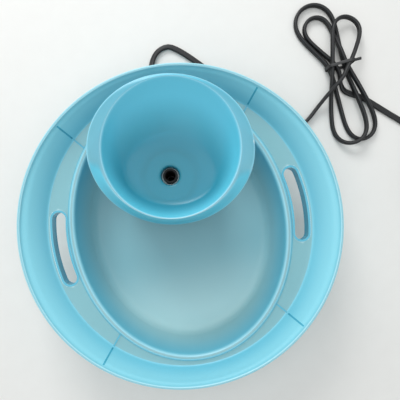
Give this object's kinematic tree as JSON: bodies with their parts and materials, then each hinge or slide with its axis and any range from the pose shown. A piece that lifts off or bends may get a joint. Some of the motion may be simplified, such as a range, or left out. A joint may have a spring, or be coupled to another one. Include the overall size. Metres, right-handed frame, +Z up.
{
  "type": "pet water fountain",
  "caption": "Round splash basin with an oval reservoir, two hand slots, a submersible pump in a lift-off tower and an upper bowl that pours back, with a hanked mains cord.",
  "frame": {"origin": "on the table, under the middle of the round basin", "axes": "+Z up, +Y to the back of the basin, where the cord leaves, -Y to the drinking side"},
  "size_m": [0.433, 0.3598, 0.13],
  "materials": {
    "basin": "clear aqua moulding, gloss",
    "tower": "clear aqua moulding, gloss",
    "bowl": "clear aqua moulding, gloss",
    "clear_rubber": "milky silicone",
    "white_plastic": "satin",
    "carbon_pad": "felt with carbon grains",
    "black_plastic": "satin moulded",
    "laminated_steel": "stamped sheets",
    "copper_winding": "varnished wire",
    "epoxy": "cast, glossy skin",
    "ferrite": "ground",
    "ceramic": "polished ceramic",
    "dark_rubber": "matt",
    "foam": "open cell foam",
    "grey_plastic": "satin moulded",
    "cord_skin": "soft vinyl, satin",
    "plug_black": "satin vinyl",
    "plated_brass": "nickel plated"
  },
  "bodies": {
    "base": {"basin": "basin", "rubber_feet": "clear_rubber", "pump_body": "black_plastic", "stator_core": "laminated_steel", "motor_coil": "copper_winding", "potting_cap": "epoxy", "rotor_shaft": "ceramic", "shaft_bushes": "dark_rubber", "impeller_cover": "black_plastic", "foam_prefilter": "foam", "suction_cups": "dark_rubber", "riser_tube": "black_plastic", "cable_gland": "dark_rubber", "cord_inner": "cord_skin", "cord_grommet": "dark_rubber", "cord_lead": "cord_skin", "cord_hank": "cord_skin", "cord_tail": "cord_skin", "twist_tie": "black_plastic", "plug_relief": "plug_black", "plug_body": "plug_black", "plug_blades": "plated_brass"},
    "tower": {"pump_tower": "tower"},
    "filter": {"filter_frame": "white_plastic", "filter_pad": "carbon_pad"},
    "seal": {"riser_seal": "clear_rubber"},
    "bowl": {"upper_bowl": "bowl"},
    "rotor": {"rotor_magnet": "ferrite", "impeller_wheel": "white_plastic"},
    "cover": {"intake_cover": "black_plastic"},
    "slider": {"flow_slider": "grey_plastic"}
  },
  "joints": [
    {"name": "tower_lift", "type": "slide", "parent": "base", "child": "tower", "axis": [0, 0, 1], "range_m": [0, 0.06]},
    {"name": "filter_lift", "type": "slide", "parent": "tower", "child": "filter", "axis": [0, 0, 1], "range_m": [0, 0.028]},
    {"name": "bowl_lift", "type": "slide", "parent": "tower", "child": "seal", "axis": [0, 0, 1], "range_m": [0, 0.04]},
    {"name": "bowl_turn", "type": "hinge", "parent": "seal", "child": "bowl", "pos_m": [0, 0.045, 0.1], "axis": [0, 0, 1], "continuous": true},
    {"name": "rotor_spin", "type": "hinge", "parent": "base", "child": "rotor", "pos_m": [0, 0.055, 0.027], "axis": [0, 1, 0], "continuous": true},
    {"name": "cover_pull", "type": "slide", "parent": "base", "child": "cover", "axis": [0, -1, 0], "range_m": [0, 0.005]},
    {"name": "flow_adjust", "type": "slide", "parent": "cover", "child": "slider", "axis": [1, 0, 0], "range_m": [0, 0.006]}
  ]
}
